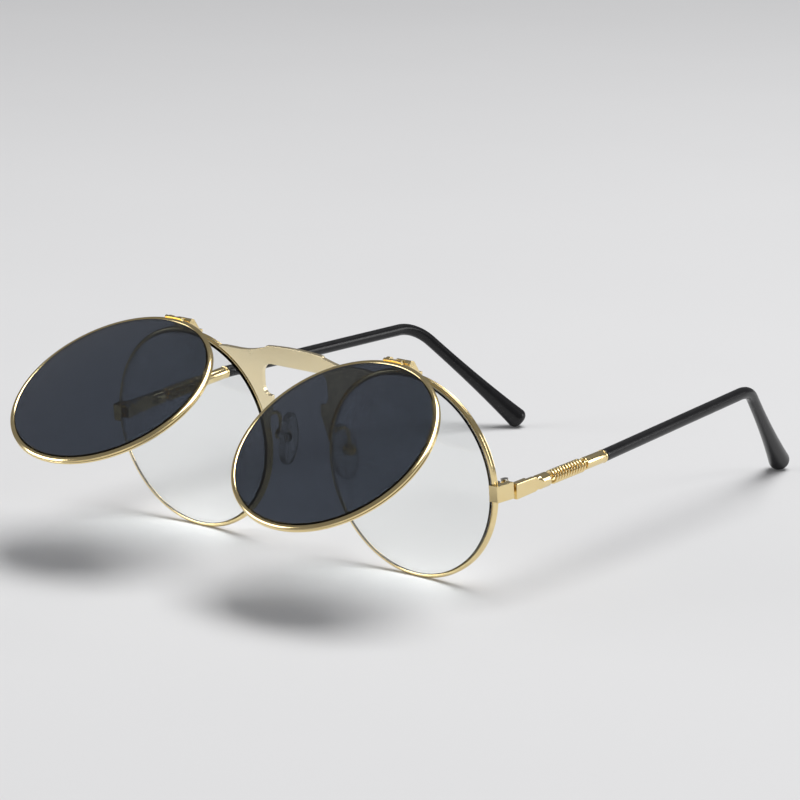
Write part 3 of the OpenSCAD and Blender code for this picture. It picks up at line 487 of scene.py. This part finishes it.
def sleeve_surface(side):
    """The smooth sleeve: a profile of radius and place along it, with a thin ring at its end, turned
    round the core."""
    r, ring_r, bore = SLEEVE_D / 2, RING_D / 2, CORE_D / 2 + PIN_FIT
    neck = SLEEVE_L - RING_L
    corners = [(bore, 0), (r, 0), (r, neck), (r - SLEEVE_NECK_DEPTH, neck + SLEEVE_NECK_L / 2),
               (ring_r, neck + SLEEVE_NECK_L), (ring_r, SLEEVE_L), (bore, SLEEVE_L)]
    profile = eased(corners, SLEEVE_ROUNDING)
    a = np.linspace(0, 2 * math.pi, SLEEVE_SIDES, endpoint=False)[:, None]
    x = BAR_MID_X + profile[None, :, 0] * np.cos(a)
    y = sleeve_start + profile[None, :, 1] + 0 * a
    z = profile[None, :, 0] * np.sin(a)
    return on_temple(np.stack([x, y, z], axis=-1), side)


# Nose pad shapes, in a pad's own frame

pad_back = -CUP_H / 2 - PAD_PLAY


def pad_surface(side):
    """The pad: egg-shaped layers from its back to its face, (w sin b (1 - e cos b), h cos b) with e the
    egg's unevenness, each drawn in by a quarter circle towards the two faces."""
    a = np.linspace(0, math.pi, PAD_LAYERS)[:, None]
    b = np.linspace(0, 2 * math.pi, PAD_SIDES, endpoint=False)[None, :]
    inset = PAD_RIM_R * (1 - np.sin(a)) * np.abs(2 * a / math.pi - 1)
    x = pad_back - PAD_T * (1 - np.cos(a)) / 2 + 0 * b
    y = (PAD_W / 2 - inset) * np.sin(b) * (1 - PAD_EGG * np.cos(b))
    z = (PAD_H / 2 - inset) * np.cos(b) - PAD_DROP
    return on_pad(np.stack([x, y, z], axis=-1), side)


def post_surface(side):
    """The post that stands on the pad's back, between the cup's cheeks: a squarish tube along X, its
    free end rounded."""
    start, round_start = pad_back - PAD_T / 2, POST_END - POST_ROUND
    rounded = np.sin(np.linspace(0, POST_ROUND_TURN, POST_END_STEPS)[1:])
    x = np.concatenate([np.linspace(start, round_start, POST_STEPS), round_start + POST_ROUND * rounded])
    shrink = np.clip((x - round_start) / POST_ROUND, 0, 1) ** 2 * POST_ROUND
    centre = np.stack([x, 0 * x, 0 * x], axis=-1)
    across, up = steady(Y_AXIS, len(x)), steady(Z_AXIS, len(x))
    half_w, half_h = POST_W / 2 - shrink, POST_H / 2 - shrink
    return on_pad(tube(centre, across, up, half_w, half_h, POST_SIDES, POST_SQUARE), side)


# Shader maths


class Shade:
    """One socket of a material's node tree. Sums and products with it add Math nodes."""

    def __init__(self, tree, socket):
        self.tree = tree
        self.socket = socket

    def node(self, kind, settings=None, sockets=None, output=0):
        """Adds any other node: its settings first, then the values or links of its sockets."""
        made = self.tree.nodes.new(kind)
        for name, value in (settings or {}).items():
            setattr(made, name, value)
        for name, value in (sockets or {}).items():
            if isinstance(value, Shade):
                self.tree.links.new(value.socket, made.inputs[name])
            else:
                made.inputs[name].default_value = value
        return Shade(self.tree, made.outputs[output])

    def math(self, operation, first, second):
        return self.node("ShaderNodeMath", {"operation": operation}, {0: first, 1: second})

    def __add__(self, other):
        return self.math("ADD", self, other)

    def __radd__(self, other):
        return self.math("ADD", other, self)

    def __rmul__(self, other):
        return self.math("MULTIPLY", other, self)

    def mixed(self, first, second):
        """The first colour where this is 0, the second where it is 1."""
        sockets = {0: self, 6: first, 7: second}
        return self.node("ShaderNodeMix", {"data_type": "RGBA"}, sockets, output=2)


def finish(name, constants, vary):
    """A material: constants sit on the Principled shader's own sockets, and vary(where) gives the
    sockets that change over the surface, worked out from the place in metres."""
    material = bpy.data.materials.new(name)
    material.use_nodes = True
    tree = material.node_tree
    shader = tree.nodes["Principled BSDF"]
    for socket, value in constants.items():
        shader.inputs[socket].default_value = value
    where = Shade(tree, tree.nodes.new("ShaderNodeTexCoord").outputs["Object"])
    for socket, value in vary(where).items():
        tree.links.new(value.socket, shader.inputs[socket])
    return material


def noise(where, scale, detail=2.0):
    """Smooth noise from 0 to 1, with that many waves a metre."""
    return where.node("ShaderNodeTexNoise", {}, {"Vector": where, "Scale": scale, "Detail": detail})


def bumped(where, height, depth, edge=0.0):
    """A bump of that depth in metres. With an edge radius, edges catch the light as if rounded to it."""
    sockets = {"Height": height, "Distance": depth, "Strength": 1.0}
    if edge:
        sockets["Normal"] = where.node("ShaderNodeBevel", {"samples": 6}, {"Radius": edge})
    return where.node("ShaderNodeBump", {}, sockets)


def gold(name, light, deep, rough, edge):
    """Pale gold plating: a cloudy tone, faint polishing marks and soft edges."""
    def vary(where):
        cloud = noise(where, 260, 3)
        marks = noise(where, 5200, 2)
        return {"Base Color": cloud.mixed(deep, light),
                "Roughness": rough + 0.07 * cloud + 0.04 * marks,
                "Normal": bumped(where, marks, 0.0000012, edge)}
    return finish(name, {"Metallic": 1.0}, vary)


def through_shadow(material, colour):
    """Lets a lens pass light on to what lies behind it: shadow rays see it as clear, in that colour."""
    tree = material.node_tree
    output = tree.nodes["Material Output"]
    shader = Shade(tree, tree.nodes["Principled BSDF"].outputs[0])
    clear = shader.node("ShaderNodeBsdfTransparent", {}, {"Color": colour})
    shadow = shader.node("ShaderNodeLightPath", output="Is Shadow Ray")
    mixed = shader.node("ShaderNodeMixShader", {}, {0: shadow, 1: shader, 2: clear})
    tree.links.new(mixed.socket, output.inputs["Surface"])
    return material


def glass(name, colour, shadow_colour, rough, ior):
    """A lens: light goes through it and bends, and its tone drifts a little over its width."""
    def vary(where):
        drift = noise(where, 22, 1)
        deeper = tuple(channel * 0.94 for channel in colour[:3]) + (1.0,)
        smear = noise(where, 900, 2)
        return {"Base Color": drift.mixed(deeper, colour), "Roughness": rough + 0.006 * smear}
    material = finish(name, {"Transmission Weight": 1.0, "IOR": ior}, vary)
    return through_shadow(material, shadow_colour)


def black_plastic(where):
    """Glossy black plastic with a fine grain."""
    cloud = noise(where, 300, 3)
    grain = noise(where, 4200, 2)
    return {"Base Color": cloud.mixed(BLACK_DEEP, BLACK_LIGHT),
            "Roughness": 0.2 + 0.1 * cloud,
            "Normal": bumped(where, grain, 0.0000016)}


def steel(where):
    """The bright screws, a little cloudy, with soft edges."""
    cloud = noise(where, 900, 3)
    return {"Base Color": cloud.mixed(STEEL_DEEP, STEEL_LIGHT),
            "Roughness": 0.16 + 0.12 * cloud,
            "Normal": bumped(where, noise(where, 6000), 0.000001, 0.00005)}


GOLD_LIGHT = (0.96, 0.79, 0.44, 1)
GOLD_DEEP = (0.89, 0.70, 0.35, 1)
PLATE_LIGHT = (0.98, 0.86, 0.58, 1)
PLATE_DEEP = (0.93, 0.79, 0.50, 1)
STEEL_LIGHT = (0.80, 0.79, 0.76, 1)
STEEL_DEEP = (0.60, 0.58, 0.54, 1)
BLACK_LIGHT = (0.014, 0.014, 0.015, 1)
BLACK_DEEP = (0.006, 0.006, 0.007, 1)
finishes = {
    "gold": gold("pale_gold", GOLD_LIGHT, GOLD_DEEP, 0.10, 0.0),
    "gold_edges": gold("pale_gold_edges", GOLD_LIGHT, GOLD_DEEP, 0.13, 0.00012),
    "gold_plate": gold("pale_gold_plate", PLATE_LIGHT, PLATE_DEEP, 0.20, 0.00016),
    "steel": finish("bright_steel", {"Metallic": 1.0}, steel),
    "clear": glass("clear_glass", (0.97, 0.985, 0.98, 1), (0.93, 0.95, 0.95, 1), 0.0, 1.5),
    "tint": glass("tinted_glass", (0.050, 0.060, 0.079, 1), (0.07, 0.08, 0.10, 1), 0.0, 1.5),
    "silicone": glass("soft_silicone", (0.93, 0.93, 0.90, 1), (0.80, 0.80, 0.78, 1), 0.16, 1.41),
    "black": finish("black_tip", {"IOR": 1.45, "Specular IOR Level": 0.35}, black_plastic),
}


# The pieces


def fit(piece, material, body, node=None):
    """Gives a piece its finish and its body, and hides the CAD node that it stands for."""
    piece.data.materials.append(finishes[material])
    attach(piece, body)
    if node:
        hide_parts(node)


rim_section = rim_profile(RIM_IN_R, RIM_WALL, RIM_DEPTH)
flip_section = rim_profile(FLIP_IN_R, FLIP_WALL, FLIP_DEPTH)
slit_angle = math.degrees(RIM_SLIT / (RIM_IN_R + RIM_WALL)) / 2

for side, sign in SIDES.items():
    outer = 0 if sign > 0 else 180
    centre, lifted = rim_middle[side], flip_middle[side]
    flip_tilt = FRONT_TILT - FLIP_OPEN[side]
    open_ring = turned(rim_section, centre, FRONT_TILT, outer + slit_angle, outer + 360 - slit_angle)
    fit(surface(f"rim_wire_{side}", open_ring), "gold", "front", f"rim_{side}")
    flip_rim = surface(f"flip_wire_{side}", turned(flip_section, lifted, flip_tilt),
                       wrap=(True, True), caps=False)
    fit(flip_rim, "gold", f"flip_{side}", f"flip_rim_{side}")
    lens = surface(f"clear_lens_{side}", turned(lens_profile(RIM_IN_R, LENS_T), centre, FRONT_TILT),
                   wrap=(True, False), caps=False)
    fit(lens, "clear", "front", f"lens_{side}")
    tinted = surface(f"dark_lens_{side}", turned(lens_profile(FLIP_IN_R, TINT_T), lifted, flip_tilt),
                     wrap=(True, False), caps=False)
    fit(tinted, "tint", f"flip_{side}", f"tinted_lens_{side}")
    temple = f"temple_{side}"
    fit(surface(f"blade_{side}", bar_surface(side)), "gold", temple, f"temple_bar_{side}")
    fit(surface(f"coil_{side}", spring_surface(side)), "gold", temple,
        f"temple_spring_{side}")
    fit(surface(f"ferrule_{side}", sleeve_surface(side), wrap=(True, True), caps=False), "gold", temple,
        f"temple_sleeve_{side}")
    fit(surface(f"ear_tip_{side}", tip_surface(side)), "black", temple,
        f"temple_tip_{side}")
    pad = f"pad_{side}"
    fit(surface(f"pad_cushion_{side}", pad_surface(side)), "silicone", pad,
        f"nose_pad_{side}")
    fit(surface(f"pad_post_{side}", post_surface(side)), "silicone", pad)

# The CAD nodes that stay as they are: the plate, the screws, and the other small metal pieces
for name, node in frame["nodes"].items():
    if name == "bridge_plate":
        material = "gold_plate"
    elif "screw" in name:
        material = "steel"
    else:
        material = "gold_edges"
    if not node.material_slots:
        node.data.materials.append(finishes[material])
    for slot in node.material_slots:
        slot.material = finishes[material]


# Floor, light and camera


def floor_paint(where):
    """Matt pale paint, a little uneven."""
    cloud = noise(where, 6, 3)
    return {"Base Color": cloud.mixed((0.70, 0.70, 0.705, 1), (0.73, 0.73, 0.735, 1)),
            "Roughness": 0.75 + 0.1 * cloud}


FLOOR_HALF = 4.0
floor_corners = [(x * FLOOR_HALF, y * FLOOR_HALF, 0) for x, y in ((-1, -1), (1, -1), (1, 1), (-1, 1))]
floor_mesh = bpy.data.meshes.new("table")
floor_mesh.from_pydata(floor_corners, [], [(0, 1, 2, 3)])
floor = bpy.data.objects.new("table", floor_mesh)
bpy.context.scene.collection.objects.link(floor)
floor_mesh.materials.append(finish("pale_table", {"Specular IOR Level": 0.2}, floor_paint))


def aimed(place, target):
    """The matrix of a lamp or camera at a place, looking at a target, its X level with the table."""
    back = np.array(place, float) - np.array(target, float)
    back /= np.linalg.norm(back)
    right = np.cross(Z_AXIS, back)
    right /= np.linalg.norm(right)
    up = np.cross(back, right)
    matrix = np.eye(4)
    matrix[:3] = np.stack([right, up, back, place], axis=-1)
    return Matrix(matrix.tolist())


def lamp(name, place, size, watts):
    """An oblong lamp that shines at the glasses."""
    light = bpy.data.lights.new(name, "AREA")
    light.shape = "RECTANGLE"
    light.size, light.size_y = size
    light.energy = watts
    holder = bpy.data.objects.new(name, light)
    holder.matrix_world = aimed(place, LAMP_TARGET)
    bpy.context.scene.collection.objects.link(holder)


LAMP_TARGET = (0, 0, 0.03)
lamp("overhead", (0.30, 0.35, 1.8), (1.5, 1.1), 32.0)
lamp("front_left", (-1.0, -0.95, 0.38), (0.9, 0.5), 6.0)
lamp("right_back", (0.9, 0.95, 0.40), (0.35, 0.6), 2.8)

world = bpy.data.worlds.new("room")
world.use_nodes = True
world.node_tree.nodes["Background"].inputs["Color"].default_value = (0.19, 0.19, 0.195, 1)
bpy.context.scene.world = world

azimuth, elevation = math.radians(VIEW_AZIMUTH), math.radians(VIEW_ELEVATION)
view_back = np.array([math.sin(azimuth) * math.cos(elevation), -math.cos(azimuth) * math.cos(elevation),
                      math.sin(elevation)])
view_target = VIEW_TARGET + front_middle * Y_AXIS
camera = bpy.data.cameras.new("camera")
camera.sensor_width = SENSOR
camera.lens = VIEW_FOCAL_PX / PHOTO_PX * SENSOR
camera.clip_start = 0.01
camera_holder = bpy.data.objects.new("camera", camera)
camera_holder.matrix_world = aimed((view_target + VIEW_DISTANCE * view_back) * MM, view_target * MM)
bpy.context.scene.collection.objects.link(camera_holder)
bpy.context.scene.camera = camera_holder
bpy.context.scene.view_settings.view_transform = "Standard"
